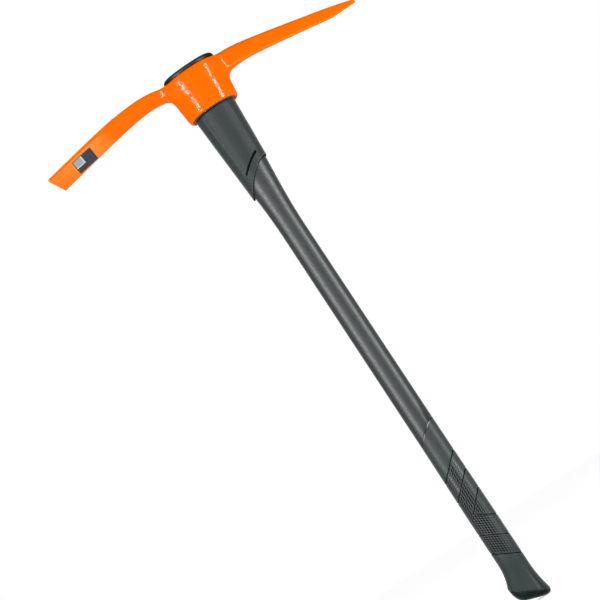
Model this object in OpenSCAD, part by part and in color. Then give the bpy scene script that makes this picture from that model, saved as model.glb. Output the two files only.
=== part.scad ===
// Pick mattock: a forged head on a drop-in handle whose flared top wedges in the head's tapered eye.
// Millimetres. The handle runs along Z with its butt at z = 0. The pick points along +X, the adze along -X.

/* [Handle] */
// Length from the top of the eye cap to the lowest point of the butt
handle_length = 914; // [750:1:1000]
// Width of the bare shaft, measured along the head
shaft_width = 36.8; // [35:0.2:40]
// Depth of the bare shaft, measured across the head
shaft_depth = 29; // [28:0.5:33]
// Length over which the neck narrows to the bare shaft
flare_length = 215; // [180:1:280]
// Diameter of the bore that holds the core rod
core_bore = 22; // [16:0.5:23]
// Radial play between the rod and its bore
core_play = 0.1; // [0.05:0.05:0.3]
// Depth to which the caps' spigots enter the bore
spigot_length = 18; // [10:1:30]

/* [Eye] */
// Height of the eye
eye_height = 65.4; // [58:0.2:74]
// Length of the eye's lower mouth
eye_mouth_length = 68.6; // [65:0.2:72]
// Width of the eye's lower mouth
eye_mouth_width = 51.4; // [49:0.2:54]
// Length of the eye's top
eye_top_length = 81.2; // [78:0.2:86]
// Width of the eye's top
eye_top_width = 57.6; // [55.5:0.1:61]
// Wall of the eye
eye_wall = 6.5; // [5:0.1:8]
// Rounding of the barrel's upper outer edge
eye_edge_round = 3; // [1:0.1:4]
// Play between the eye and the handle's plug
eye_play = 0.4; // [0.3:0.1:1]

/* [Arm roots] */
// Distance from the handle's axis to the roots of the arms
root_reach = 45; // [44:0.5:48]
// Length over which the pick arm swells into the eye
pick_web_length = 11; // [10:1:22]
// Depth of the swelling under the pick arm
pick_web_depth = 6; // [4:0.5:14]
// Breadth of the swelling on each side of the pick arm
pick_web_breadth = 5; // [3:0.5:10]
// Length over which the adze arm swells into the eye
adze_web_length = 20; // [12:1:26]
// Depth of the swelling under the adze arm
adze_web_depth = 14; // [6:0.5:18]
// Breadth of the swelling on each side of the adze arm
adze_web_breadth = 5.5; // [2:0.5:6]

/* [Pick arm] */
// Distance from the handle's axis to the point
pick_reach = 256.5; // [230:0.5:290]
// Drop of the point's upper edge below the top of the eye
pick_drop = 45.8; // [40:0.2:55]
// Height of the arm at its root
pick_root_height = 28; // [26:0.5:32]
// Width of the arm at its root
pick_root_width = 27.5; // [24:0.5:34]
// Drop of the arm's top below the top of the eye, at its root
pick_root_drop = 0.3; // [0.2:0.1:1.5]
// Distance from the handle's axis to the crest of the arm's top
pick_crest_reach = 62; // [56:1:70]
// Drop of the arm's top below the top of the eye, at its crest
pick_crest_drop = 0.4; // [0:0.1:2]
// Distance from the handle's axis to the arm's neck
pick_neck_reach = 94; // [80:1:110]
// Height of the arm at its neck
pick_neck_height = 23.8; // [20:0.2:27]
// Width of the arm at its neck
pick_neck_width = 20.5; // [17:0.5:25]
// Drop of the arm's top below the top of the eye, at its neck
pick_neck_drop = 5.2; // [3:0.2:9]
// Height of the arm where the point's bevel starts
pick_bevel_height = 15.6; // [12:0.2:19]
// Width of the arm where the point's bevel starts
pick_bevel_width = 13.5; // [11:0.5:17]
// Drop of the arm's top below the top of the eye, where the point's bevel starts
pick_bevel_drop = 34.6; // [28:0.2:38]
// Length of the bevelled point
pick_bevel_length = 40; // [25:1:60]
// Height of the blunt point
pick_tip_height = 4.6; // [3:0.1:7]
// Width of the blunt point
pick_tip_width = 8.2; // [5:0.2:12]
// Rounding of the arm's long edges
pick_edge_round = 3.5; // [1:0.1:5]

/* [Adze arm] */
// Distance from the handle's axis to the cutting edge
adze_reach = 255.5; // [220:0.5:290]
// Drop of the cutting edge below the top of the eye
adze_drop = 19.6; // [12:0.2:32]
// Width of the cutting edge
adze_width = 88.6; // [80:0.2:100]
// Thickness of the cutting edge
adze_edge_thickness = 4; // [2.5:0.1:6]
// Thickness of the arm at its root
adze_root_thickness = 11.2; // [10:0.2:15]
// Drop of the arm's top below the top of the eye, at its root
adze_root_drop = 0.3; // [0.2:0.1:1.5]
// Distance from the handle's axis to the foot of the arm's crest
adze_crest_reach = 60; // [54:1:66]
// Rise of the arm's top above the top of the eye, at the foot of its crest
adze_crest_rise = 4.3; // [2:0.1:6]
// Distance from the handle's axis to the arm's neck
adze_neck_reach = 88; // [78:1:98]
// Rise of the arm's top above the top of the eye, at its neck
adze_neck_rise = 7.1; // [4:0.1:10]
// Width of the arm at its neck
adze_neck_width = 45; // [38:0.5:47]
// Thickness of the arm at its neck
adze_neck_thickness = 13.4; // [11:0.1:17]
// Distance from the handle's axis to the blade's shoulders
adze_shoulder_reach = 140; // [125:1:160]
// Drop of the blade's shoulders below the top of the eye
adze_shoulder_drop = 0.6; // [0:0.2:5]
// Width of the blade at its shoulders
adze_shoulder_width = 74.5; // [66:0.5:80]
// Thickness of the blade at its shoulders
adze_shoulder_thickness = 7.5; // [5.5:0.1:9]

/* [Eye cap] */
// Thickness of the cap in its middle
cap_thickness = 10.6; // [8:0.1:13]
// Rise of the cap's dome over its rim
cap_dome = 1.1; // [0.5:0.1:2]
// Overhang of the cap past the eye's inner edge
cap_overhang = 2.1; // [0.8:0.1:4]
// Rounding of the cap's upper edge
cap_rim_round = 4.3; // [2:0.1:5]
// Rounding of the cap's lower edge
cap_foot_round = 1.2; // [0.6:0.1:1.6]
// Gap between the cap and the eye's top
cap_gap = 0.4; // [0.3:0.1:1]

/* [Strike guard] */
// Play with which the guard's top passes through the eye's lower mouth
guard_play = 1.3; // [0.6:0.1:2]
// Wall of the guard at its top
guard_wall = 2.8; // [2:0.1:4]
// Least wall of the guard lower down
guard_least_wall = 1.6; // [1.2:0.1:2]
// Width of the guard at the foot of its taper
guard_foot_width = 52.2; // [48:0.2:56]
// Depth of the guard at the foot of its taper
guard_foot_depth = 40; // [38:0.2:43]
// Length of the guard along the handle's axis
guard_length = 120.6; // [100:0.2:130]
// Slant of the guard's lower edge
guard_slant = 43.4; // [30:0.1:45]
// Rise of the guard's lower edge in the middle of its front and back
guard_rise = 5.5; // [0:0.5:8]
// Width of the guard's blind groove
guard_groove_width = 2.4; // [1.5:0.1:4]
// Depth of the guard's blind groove
guard_groove_depth = 1; // [0.5:0.1:1.2]
// Slant of the guard's blind groove
guard_groove_slant = 36; // [28:0.5:44]
// Rise of the groove's middle over a straight line between its ends
guard_groove_rise = 1.8; // [0:0.1:3]
// Height of the groove's line above the guard's lower edge, on the handle's axis
guard_groove_lift = 19; // [11:0.2:24]
// Left end of the groove, from the handle's axis
guard_groove_left = 13; // [8:0.5:16]
// Right end of the groove, from the handle's axis
guard_groove_right = 18.5; // [10:0.5:20]
// Depth of the guard's sunk panel
guard_panel_depth = 0.4; // [0.2:0.1:0.8]
// Half the width of the guard's sunk panel at its top
guard_panel_half = 21.5; // [15:0.5:24]
// Distance of the sunk panel from the guard's top
guard_panel_margin = 6; // [5:0.5:20]
// Corner rounding of the sunk panel
guard_panel_corner = 4; // [2:0.5:6]

/* [Grip] */
// Height of the grip's upper seam above the butt
grip_height = 278; // [265:0.5:300]
// Slant of the grip's upper seam
grip_slant = 41; // [30:0.5:44]
// Rise of the seam in the middle of its front and back
grip_rise = 3; // [0:0.5:6]
// Depth to which the grip is let into the shaft
grip_recess = 2; // [1.5:0.1:2.5]
// Swell of the grip past the shaft
grip_swell = 0.8; // [0:0.1:2]
// Height of the grip's fullest point
grip_swell_height = 130; // [110:1:180]
// Length of the smooth field under the seam
grip_smooth_field = 58.2; // [50:0.2:64]
// Length of the smooth field above the crease, on the handle's axis
knob_field = 59.4; // [52:0.2:66]
// Slant of the grip's upper grooves
grip_groove_slant = 44; // [32:0.5:45]
// Pitch of the grip's grooves
grip_groove_pitch = 31; // [27:0.2:33]
// Distance from the handle's axis to the apex where the middle two grooves meet
grip_apex = 8; // [4:0.1:14]
// Width of the grip's grooves
grip_groove_width = 1.7; // [1:0.1:3]
// Depth of the grip's grooves
grip_groove_depth = 0.9; // [0.4:0.1:1.1]
// Flare of the knob past the grip, along the head
knob_flare = 7.2; // [5:0.2:10]
// Flare of the knob past the grip, across the head
knob_depth_flare = 5; // [2:0.2:6]
// Length of the knob's flare
knob_length = 42; // [35:1:50]
// Lean of the knob's end towards the adze
knob_lean = 0.9; // [0:0.1:2]
// Slant of the crease between the knob and the butt cap
crease_slant = 28.4; // [15:0.1:32]
// Depth of the crease between the knob and the butt cap
crease_depth = 1.2; // [0.5:0.1:2]
// Width of the open seam at the ends of the grip and the guard
seam_gap = 0.6; // [0.3:0.1:1]
// Play between a moulded sleeve and the shaft inside it
sleeve_play = 0.1; // [0.05:0.05:0.3]

/* [Butt cap] */
// Height of the butt cap on the handle's axis
butt_height = 14.6; // [11:0.2:18]
// Slant of the butt's flat end
butt_slant = 14.5; // [8:0.5:24]
// Inset of the butt's rounded edge
butt_round = 12; // [8:0.5:16]

/* [Hidden] */

// Sides of every oval ring, and its fullness: 2 is an ellipse
ring_sides = 40;
fullness = 2.25;
// Steps in each rounded corner of an arm
corner_steps = 4;

// Levels of the eye
cap_seat = handle_length - cap_thickness;
eye_top = cap_seat - cap_gap;
eye_bottom = eye_top - eye_height;

// Handle's neck just under the eye, inside the guard
neck_width = eye_mouth_length - 2 * (guard_play + guard_wall);
neck_depth = eye_mouth_width - 2 * (guard_play + guard_wall);

// Arms: they start inside the eye's wall
arm_start = eye_mouth_length / 2 - eye_wall;
web_start = root_reach - eye_wall;
pick_side_start = barrel_reach(pick_root_width / 2 + pick_web_breadth);
adze_side_start = barrel_reach(adze_neck_width / 2 + adze_web_breadth);
pick_bevel_start = pick_reach - pick_bevel_length;

// Knob and butt: the end is set so that its lowest point is at z = 0
grip_half = shaft_width / 2 + grip_swell;
knob_half = grip_half + knob_flare;
knob_depth_half = shaft_depth / 2 + grip_swell + knob_depth_flare;
lip_height = 3 * crease_depth;
butt_steps = 8;
butt_end_level = -min([for (i = [0 : butt_steps]) butt_toe(90 * i / butt_steps)]);
crease_level = butt_end_level + butt_height;

// Levels of the guard
guard_top = eye_bottom - seam_gap;
guard_foot_level = guard_top - guard_length;
guard_foot_slope = tan(guard_slant);

// Grooves of the grip as [left x, left z, right x, right z]: the upper ones run beside the seam,
// the lower ones beside the crease, and the middle two meet in an apex
groove_reach = knob_half;
upper_slope = tan(grip_groove_slant);
lower_slope = -tan(crease_slant);
upper_levels = [for (i = [0 : 2]) grip_height - grip_smooth_field - i * grip_groove_pitch];
lower_levels = [for (i = [0 : 2]) crease_level + knob_field + i * grip_groove_pitch];
apex_level = (upper_levels[2] + lower_levels[2] - grip_apex * (upper_slope + lower_slope)) / 2;
grip_grooves = concat(
    [for (i = [0 : 1]) groove_line(upper_levels[i], upper_slope)],
    [for (i = [0 : 1]) groove_line(lower_levels[i], lower_slope)],
    [
        [-grip_apex, apex_level, groove_reach, upper_levels[2] + upper_slope * groove_reach],
        [-grip_apex, apex_level, groove_reach, lower_levels[2] + lower_slope * groove_reach]
    ]
);

function groove_line(z, slope) =
    [-groove_reach, z - slope * groove_reach, groove_reach, z + slope * groove_reach];

// Part of the way from a to b
function between(a, b, part) = a + (b - a) * part;

// Eases from 1 to 0 as part goes from 0 to 1
function ease(part) = (1 + cos(180 * min(1, max(0, part)))) / 2;

// Slope of a smooth curve at its point i
function curve_slope(p, i) =
    let (a = p[max(0, i - 1)], b = p[min(len(p) - 1, i + 1)])
    (b[1] - a[1]) / (b[0] - a[0]);

// Value at x of a smooth curve through the points p, each [place, value]
function curve(p, x) =
    let (
        i = max([0, for (k = [0 : len(p) - 2]) if (x >= p[k][0]) k]),
        h = p[i + 1][0] - p[i][0],
        t = (x - p[i][0]) / h,
        rise = p[i + 1][1] - p[i][1],
        s0 = curve_slope(p, i) * h,
        s1 = curve_slope(p, i + 1) * h
    )
    p[i][1] + s0 * t + (3 * rise - 2 * s0 - s1) * t * t + (s0 + s1 - 2 * rise) * t * t * t;

// Signed power that gives an oval its fullness
function full(v) = sign(v) * pow(abs(v), 2 / fullness);

// Ring on a skin, where skin(z) gives [half width, half depth], on a level that may slant along X,
// rise in the middle of its front and back, and lie beside the axis
function ring(skin, level, slope = 0, rise = 0, aside = 0) = [
    for (i = [0 : ring_sides - 1])
        let (
            c = full(cos(360 * i / ring_sides)),
            s = full(sin(360 * i / ring_sides)),
            z = level + slope * (skin(level)[0] * c + aside) + rise * (1 - c * c),
            size = skin(z)
        )
        [size[0] * c + aside, size[1] * s, z]
];

// Skin with the same size at every level
function even(half_width, half_depth) = function(z) [half_width, half_depth];

// Section of an arm at the distance x from the handle's axis, with upper and lower corner roundings
function bar(x, half_width, top, bottom, corner, low_corner) = [
    for (quarter = [0 : 3], step = [0 : corner_steps])
        let (
            a = 90 * (quarter + step / corner_steps),
            side = quarter == 0 || quarter == 3 ? 1 : -1,
            r = quarter < 2 ? corner : low_corner,
            mid = quarter < 2 ? top - corner : bottom + low_corner
        )
        [x, side * (half_width - r) + r * cos(a), mid + r * sin(a)]
];

// Solid through a list of rings. A closed one joins its last ring to its first, as a sleeve does.
module loft(rings, closed = false) {
    count = len(rings);
    sides = len(rings[0]);
    walls = [
        for (k = [0 : count - (closed ? 1 : 2)], i = [0 : sides - 1])
            let (
                j = (i + 1) % sides,
                low = k * sides,
                high = ((k + 1) % count) * sides
            )
            each [[low + i, high + i, high + j], [low + i, high + j, low + j]]
    ];
    ends = closed ? [] : [
        [for (i = [0 : sides - 1]) i],
        [for (i = [sides - 1 : -1 : 0]) (count - 1) * sides + i]
    ];
    polyhedron([for (r = rings) each r], concat(walls, ends), convexity = 10);
}

// Rod that fits a round bore, from level low up to level high
module bore_rod(low, high) {
    translate([0, 0, low])
        cylinder(h = high - low, d = core_bore - 2 * core_play, $fn = 64);
}

// Eye's inner half sizes at level z, grown by extra
function eye_half(z, extra) =
    let (up = (z - eye_bottom) / eye_height)
    [
        between(eye_mouth_length, eye_top_length, up) / 2 + extra,
        between(eye_mouth_width, eye_top_width, up) / 2 + extra
    ];

// Bare handle's half sizes at level z, below the eye
function shaft_half(z) =
    let (swell = ease((eye_bottom - z) / flare_length))
    [between(shaft_width, neck_width, swell) / 2, between(shaft_depth, neck_depth, swell) / 2];

// Guard's outer half sizes at level z, less an inset: a straight taper that keeps the least wall
function guard_half(z, inset = 0) =
    let (
        down = (guard_top - z) / guard_length,
        top = eye_half(eye_bottom, -guard_play),
        inside = shaft_half(z)
    )
    [
        max(between(top[0], guard_foot_width / 2, down), inside[0] + guard_least_wall) - inset,
        max(between(top[1], guard_foot_depth / 2, down), inside[1] + guard_least_wall) - inset
    ];

// Grip's ring at a level on the axis, less an inset: its slant turns from the crease to the seam
function grip_ring(level, inset = 0) =
    let (
        up = level - crease_level,
        flare = pow(max(0, 1 - up / knob_length), 2),
        lip = crease_depth * pow(max(0, 1 - up / lip_height), 2),
        swell = grip_swell * ease((level - grip_swell_height) / (grip_height - grip_swell_height)),
        turn = max(0, (up - knob_length) / (grip_height - crease_level - knob_length))
    )
    ring(
        even(
            shaft_width / 2 + swell + knob_flare * flare - lip - inset,
            shaft_depth / 2 + swell + knob_depth_flare * flare - lip - inset
        ),
        level,
        between(-tan(crease_slant), tan(grip_slant), turn),
        grip_rise * turn,
        -knob_lean * flare
    );

// Levels of the grip's rings: close together on the knob
function grip_levels(low, high) = concat(
    [for (part = [0, 0.25, 0.5]) low + lip_height * part],
    [for (i = [0 : 7]) between(low + lip_height, crease_level + knob_length, i / 8)],
    [for (i = [0 : 8]) between(crease_level + knob_length, high, i / 8)]
);

// Distances from the handle's axis for the sections of an arm: close together at its root
function arm_steps(end, count) = [for (i = [0 : count]) between(arm_start, end, pow(i / count, 1.5))];

// Share of the swelling that an arm has at the distance x: all of it up to the start, none past its length
function web(x, start, length) = pow(max(0, 1 - max(0, x - start) / length), 2);

// Distance from the handle's axis at which the barrel's side, level with the arms, is y from the middle
function barrel_reach(y) =
    let (half = eye_half(eye_top - pick_root_height / 2, eye_wall))
    half[0] * pow(1 - pow(y / half[1], fullness), 1 / fullness);

// Section of the pick arm
function pick_bar(x) =
    let (
        drop = curve(
            [
                [root_reach, pick_root_drop],
                [pick_crest_reach, pick_crest_drop],
                [pick_neck_reach, pick_neck_drop],
                [pick_bevel_start, pick_bevel_drop],
                [pick_reach, pick_drop]
            ],
            max(x, root_reach)
        ),
        point = max(0, (x - pick_bevel_start) / pick_bevel_length),
        body = min(max(x, root_reach), pick_bevel_start),
        height = curve(
            [
                [root_reach, pick_root_height],
                [pick_neck_reach, pick_neck_height],
                [pick_bevel_start, pick_bevel_height]
            ],
            body
        ),
        width = curve(
            [
                [root_reach, pick_root_width],
                [pick_neck_reach, pick_neck_width],
                [pick_bevel_start, pick_bevel_width]
            ],
            body
        ),
        under = pick_web_depth * web(x, web_start, pick_web_length),
        side = pick_web_breadth * web(x, pick_side_start, pick_web_length),
        bar_height = between(height, pick_tip_height, point) + under,
        bar_width = between(width, pick_tip_width, point) + 2 * side,
        corner = min(pick_edge_round, 0.4 * min(bar_height, bar_width))
    )
    bar(
        x,
        bar_width / 2,
        eye_top - drop,
        eye_top - drop - bar_height,
        corner,
        min(corner + under, 0.4 * bar_width)
    );

module pick_arm() {
    bevel_steps = 4;
    loft([
        for (x = arm_steps(pick_bevel_start, 20)) pick_bar(x),
        for (i = [1 : bevel_steps]) pick_bar(between(pick_bevel_start, pick_reach, i / bevel_steps))
    ]);
}

// Section of the adze arm, built towards +X
function adze_bar(x) =
    let (
        place = max(x, root_reach),
        drop = curve(
            [
                [root_reach, adze_root_drop],
                [adze_crest_reach, -adze_crest_rise],
                [adze_neck_reach, -adze_neck_rise],
                [adze_shoulder_reach, adze_shoulder_drop],
                [adze_reach, adze_drop]
            ],
            place
        ),
        thickness = curve(
            [
                [root_reach, adze_root_thickness],
                [adze_neck_reach, adze_neck_thickness],
                [adze_shoulder_reach, adze_shoulder_thickness],
                [adze_reach, adze_edge_thickness]
            ],
            place
        ),
        neck = curve(
            [
                [root_reach, adze_neck_width],
                [adze_neck_reach, adze_neck_width],
                [adze_shoulder_reach, adze_shoulder_width],
                [adze_reach, adze_width]
            ],
            place
        ),
        half_width = neck / 2 + adze_web_breadth * web(x, adze_side_start, adze_web_length),
        under = adze_web_depth * web(x, web_start, adze_web_length),
        corner = 0.4 * thickness
    )
    bar(
        x,
        half_width,
        eye_top - drop,
        eye_top - drop - thickness - under,
        corner,
        min(corner + under, 0.8 * half_width)
    );

module adze_arm() {
    mirror([1, 0, 0])
        loft([for (x = arm_steps(adze_reach, 26)) adze_bar(x)]);
}

// Barrel round the eye, whose lower rim is a full round
module eye_barrel() {
    rim = eye_bottom + eye_wall / 2;
    shoulder = eye_top - eye_edge_round;
    edge_steps = 4;
    loft(concat(
        [ring(function(level) eye_half(level, eye_wall), rim)],
        [
            for (i = [0 : edge_steps])
                let (a = 90 * i / edge_steps, inset = eye_edge_round * (1 - cos(a)))
                ring(function(level) eye_half(level, eye_wall - inset), shoulder + eye_edge_round * sin(a))
        ]
    ));
    bead = ring(function(level) eye_half(level, eye_wall / 2), rim);
    for (i = [0 : ring_sides - 1])
        hull()
            for (p = [bead[i], bead[(i + 1) % ring_sides]])
                translate(p)
                    sphere(d = eye_wall, $fn = 16);
}

// Tapered oval hole through the head
module eye_hole() {
    past = 5;
    loft([for (z = [eye_bottom - past, eye_top + past]) ring(function(level) eye_half(level, 0), z)]);
}

module mattock_head() {
    color("darkorange")
        difference() {
            union() {
                eye_barrel();
                pick_arm();
                adze_arm();
            }
            eye_hole();
        }
}

// Domed lid over the eye, with a round spigot in the handle's bore
module eye_cap() {
    half = eye_half(eye_top, cap_overhang);
    rim = cap_thickness - cap_dome;
    foot_steps = 3;
    edge_steps = 4;
    dome_steps = 5;
    foot_rings = [
        for (i = [0 : foot_steps])
            let (a = 90 * i / foot_steps, inset = cap_foot_round * (1 - sin(a)))
            ring(even(half[0] - inset, half[1] - inset), cap_seat + cap_foot_round * (1 - cos(a)))
    ];
    edge_rings = [
        for (i = [0 : edge_steps])
            let (a = 90 * i / edge_steps, inset = cap_rim_round * (1 - cos(a)))
            ring(even(half[0] - inset, half[1] - inset), cap_seat + rim - cap_rim_round * (1 - sin(a)))
    ];
    dome_rings = [
        for (i = [1 : dome_steps - 1])
            let (in = i / dome_steps)
            ring(
                even((half[0] - cap_rim_round) * (1 - in), (half[1] - cap_rim_round) * (1 - in)),
                cap_seat + rim + cap_dome * (1 - pow(1 - in, 2))
            )
    ];
    color("black") {
        loft(concat(foot_rings, edge_rings, dome_rings));
        bore_rod(cap_seat - spigot_length, cap_seat + cap_rim_round);
    }
}

// Round rod that runs between the two caps' spigots
module handle_core() {
    color("wheat")
        bore_rod(crease_level + spigot_length, cap_seat - spigot_length);
}

// Moulded shaft: let in under the grip, flared under the guard, and tapered to plug the eye
module handle_jacket() {
    under_grip = even(shaft_width / 2 - grip_recess, shaft_depth / 2 - grip_recess);
    shaft = function(z) shaft_half(z);
    plug = function(z) eye_half(z, -eye_play);
    flare_steps = 12;
    flare_start = eye_bottom - flare_length;
    turn_steps = 3;
    color("dimgray")
        difference() {
            loft(concat(
                [
                    ring(under_grip, crease_level, -tan(crease_slant)),
                    ring(under_grip, grip_height, tan(grip_slant), grip_rise)
                ],
                [
                    for (i = [0 : turn_steps])
                        let (part = i / turn_steps, level = between(grip_height, flare_start, part))
                        ring(shaft, level, tan(grip_slant) * (1 - part), grip_rise * (1 - part))
                ],
                [for (i = [1 : flare_steps]) ring(shaft, between(flare_start, eye_bottom, i / flare_steps))],
                [ring(plug, eye_bottom), ring(plug, cap_seat)]
            ));
            cylinder(h = handle_length, d = core_bore, $fn = 64);
        }
}

// Blind groove of the guard, seen from the front
module guard_groove() {
    steps = 5;
    for (i = [1 : steps])
        hull()
            for (part = [(i - 1) / steps, i / steps])
                translate(groove_point(between(-guard_groove_left, guard_groove_right, part)))
                    circle(d = guard_groove_width, $fn = 16);
}

// Point of the groove's middle line at x, seen from the front
function groove_point(x) =
    let (
        part = (x + guard_groove_left) / (guard_groove_left + guard_groove_right),
        bow = 4 * guard_groove_rise * part * (1 - part)
    )
    [x, guard_foot_level + guard_groove_lift + tan(guard_groove_slant) * x + bow];

// Outline of the guard's sunk panel, whose foot ends in the groove
module guard_panel() {
    top = guard_top - guard_panel_margin - guard_panel_corner;
    half = guard_panel_half - guard_panel_corner;
    inset = [-guard_panel_corner / 2, guard_panel_corner];
    corners = [
        [-half, top],
        [half, top],
        groove_point(guard_groove_right) + inset,
        groove_point(-guard_groove_left) + [-inset[0], inset[1]]
    ];
    hull()
        for (p = corners)
            translate(p)
                circle(r = guard_panel_corner, $fn = 24);
}

// Cuts an outline, drawn as seen from the front, into the front and back of the guard to a depth
module cut_guard(depth) {
    difference() {
        rotate([90, 0, 0])
            linear_extrude(height = 2 * eye_mouth_width, center = true)
                children();
        loft([
            for (z = [guard_foot_level - guard_length / 2, guard_top + 1])
                ring(function(level) guard_half(level, depth), z)
        ]);
    }
}

// Guard's ring on a skin: part goes from 0 at the slanted lower edge to 1 at the level top
function guard_ring(skin, part) =
    ring(
        skin,
        between(guard_foot_level, guard_top, part),
        guard_foot_slope * (1 - part),
        guard_rise * (1 - part)
    );

// Moulded sleeve under the eye
module strike_guard() {
    outer = function(z) guard_half(z);
    inner = function(z) [for (half = shaft_half(z)) half + sleeve_play];
    wall_steps = 6;
    color("darkslategray")
        difference() {
            loft(
                concat(
                    [for (i = [0 : wall_steps]) guard_ring(outer, i / wall_steps)],
                    [for (i = [wall_steps : -1 : 0]) guard_ring(inner, i / wall_steps)]
                ),
                closed = true
            );
            cut_guard(guard_groove_depth) guard_groove();
            cut_guard(guard_panel_depth) guard_panel();
        }
}

// Grooves of the grip, seen from one side
module grip_groove_lines() {
    for (g = grip_grooves)
        hull() {
            translate([g[0], g[1]])
                circle(d = grip_groove_width, $fn = 12);
            translate([g[2], g[3]])
                circle(d = grip_groove_width, $fn = 12);
        }
}

// Moulded grip with slanted grooves and a flared knob
module grip_sleeve() {
    top = grip_height - seam_gap;
    levels = grip_levels(crease_level, top);
    last = len(levels) - 1;
    inner = even(
        shaft_width / 2 - grip_recess + sleeve_play,
        shaft_depth / 2 - grip_recess + sleeve_play
    );
    color("darkslategray")
        difference() {
            loft(
                concat(
                    [for (level = levels) grip_ring(level)],
                    [
                        ring(inner, levels[last], tan(grip_slant), grip_rise),
                        ring(inner, levels[0], -tan(crease_slant))
                    ]
                ),
                closed = true
            );
            difference() {
                for (side = [-1, 1])
                    rotate([90, 0, 0])
                        scale([1, 1, side])
                            linear_extrude(height = shaft_depth)
                                grip_groove_lines();
                loft([for (level = levels) grip_ring(level, grip_groove_depth)]);
            }
        }
}

// Inset of the butt cap's side: turn goes from 0 at the crease to 90 degrees at the flat end
function butt_inset(turn) = crease_depth + butt_round * (1 - cos(turn));

// Slope of the butt cap's ring
function butt_slope(turn) = -between(tan(crease_slant), tan(butt_slant), sin(turn));

// Lowest point of the butt cap's ring, above the flat end's middle
function butt_toe(turn) =
    butt_height * (1 - sin(turn)) + butt_slope(turn) * (knob_half - butt_inset(turn) - knob_lean);

// Ring of the butt cap
function butt_ring(turn) =
    ring(
        even(knob_half - butt_inset(turn), knob_depth_half - butt_inset(turn)),
        between(crease_level - sleeve_play, butt_end_level, sin(turn)),
        butt_slope(turn),
        0,
        -knob_lean
    );

// Rounded end with a slanted flat, and a round spigot in the handle's bore
module butt_cap() {
    seat = crease_level - core_bore / 2 * tan(crease_slant);
    color("black") {
        loft([for (i = [butt_steps : -1 : 0]) butt_ring(90 * i / butt_steps)]);
        bore_rod(seat - 1, crease_level + spigot_length);
    }
}

mattock_head();
eye_cap();
handle_core();
handle_jacket();
strike_guard();
grip_sleeve();
butt_cap();
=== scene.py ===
import math

import bmesh
import bpy
from bpy.props import FloatProperty, FloatVectorProperty, IntProperty, PointerProperty
from mathutils import Matrix, Vector
from mathutils.bvhtree import BVHTree


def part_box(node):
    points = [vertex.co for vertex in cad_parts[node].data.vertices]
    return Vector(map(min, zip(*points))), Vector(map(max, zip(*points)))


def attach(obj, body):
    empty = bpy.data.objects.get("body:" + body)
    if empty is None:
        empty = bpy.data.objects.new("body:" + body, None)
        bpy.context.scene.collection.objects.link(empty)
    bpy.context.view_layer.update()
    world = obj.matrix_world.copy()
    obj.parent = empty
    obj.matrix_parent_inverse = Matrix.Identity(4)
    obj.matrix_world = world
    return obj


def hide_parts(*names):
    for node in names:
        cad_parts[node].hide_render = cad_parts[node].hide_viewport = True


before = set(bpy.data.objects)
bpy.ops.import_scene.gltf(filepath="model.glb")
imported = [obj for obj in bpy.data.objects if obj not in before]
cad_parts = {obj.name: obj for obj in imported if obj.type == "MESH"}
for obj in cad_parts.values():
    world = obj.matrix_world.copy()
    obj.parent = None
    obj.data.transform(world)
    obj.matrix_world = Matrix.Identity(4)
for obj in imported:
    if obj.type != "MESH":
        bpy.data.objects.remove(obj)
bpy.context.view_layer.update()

bl_info = {
    "name": "Pick mattock",
    "version": (1, 0, 0),
    "blender": (4, 5, 0),
    "location": "3D View > Sidebar > Mattock",
    "description": "Builds a pick mattock: forged head, eye cap, drop-in handle, strike guard, grip and butt",
    "category": "Object",
}

# Boxes of the solids that set the levels of the pieces
GUARD_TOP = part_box("strike_guard")[1].z
CAP_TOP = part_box("eye_cap")[1].z

# Gap between the guard's top and the eye's lip
EYE_GAP = 0.0006

# Fullness of every oval: 2 is an ellipse, and the knob is squarer by its own share
FULLNESS = 2.25
KNOB_FULLNESS = 0.75

# Distance from the handle's axis at which the head's arms start
ARM_ROOT = 0.045

# Level above which the grip's swell fades towards its seam
SWELL_LEVEL = 0.130

# Length of the lip beside the crease, in depths of the crease
LIP_RUN = 3

# Heights of the wave of rows and columns at which a dimple of the grip starts and is full
DIMPLE_WAVE = (-0.7, 0.5)


def length(name, description, default):
    """A property for a length in metres."""
    return FloatProperty(name=name, description=description, default=default, unit="LENGTH", precision=5)


def slant(name, description, degrees):
    """A property for an angle, given in degrees."""
    return FloatProperty(name=name, description=description, default=math.radians(degrees), subtype="ANGLE")


def colour(name, description, default):
    """A property for a colour."""
    return FloatVectorProperty(
        name=name, description=description, default=default, subtype="COLOR", size=3, min=0.0, max=1.0
    )


def spot(name, description, default):
    """A property for a place in space."""
    return FloatVectorProperty(name=name, description=description, default=default, subtype="XYZ")


class EyeSizes(bpy.types.PropertyGroup):
    top: length("Top", "Level of the eye's top", 0.9030)
    bottom: length("Bottom", "Level of the eye's lower lip", GUARD_TOP + EYE_GAP)
    mouth_length: length("Mouth length", "Length of the eye's lower mouth", 0.0686)
    mouth_width: length("Mouth width", "Width of the eye's lower mouth", 0.0514)
    top_length: length("Top length", "Length of the eye's top", 0.0812)
    top_width: length("Top width", "Width of the eye's top", 0.0576)
    wall: length("Wall", "Wall of the eye", 0.0065)
    detail: IntProperty(name="Detail", description="Subdivision of the forging", default=3, min=1, max=4)


class PickSizes(bpy.types.PropertyGroup):
    reach: length("Reach", "Distance from the handle's axis to the point", 0.2565)
    bevel: length("Bevel", "Length of the bevelled point", 0.0400)
    drop: length("Drop", "Drop of the point below the eye's top", 0.0458)
    tip_height: length("Tip height", "Height of the blunt point", 0.0046)
    tip_width: length("Tip width", "Width of the blunt point", 0.0082)
    root_width: length("Root width", "Width of the arm at its root", 0.0275)
    neck_width: length("Neck width", "Width of the arm at its neck", 0.0205)
    bevel_width: length("Bevel width", "Width of the arm where its bevel starts", 0.0135)


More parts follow.
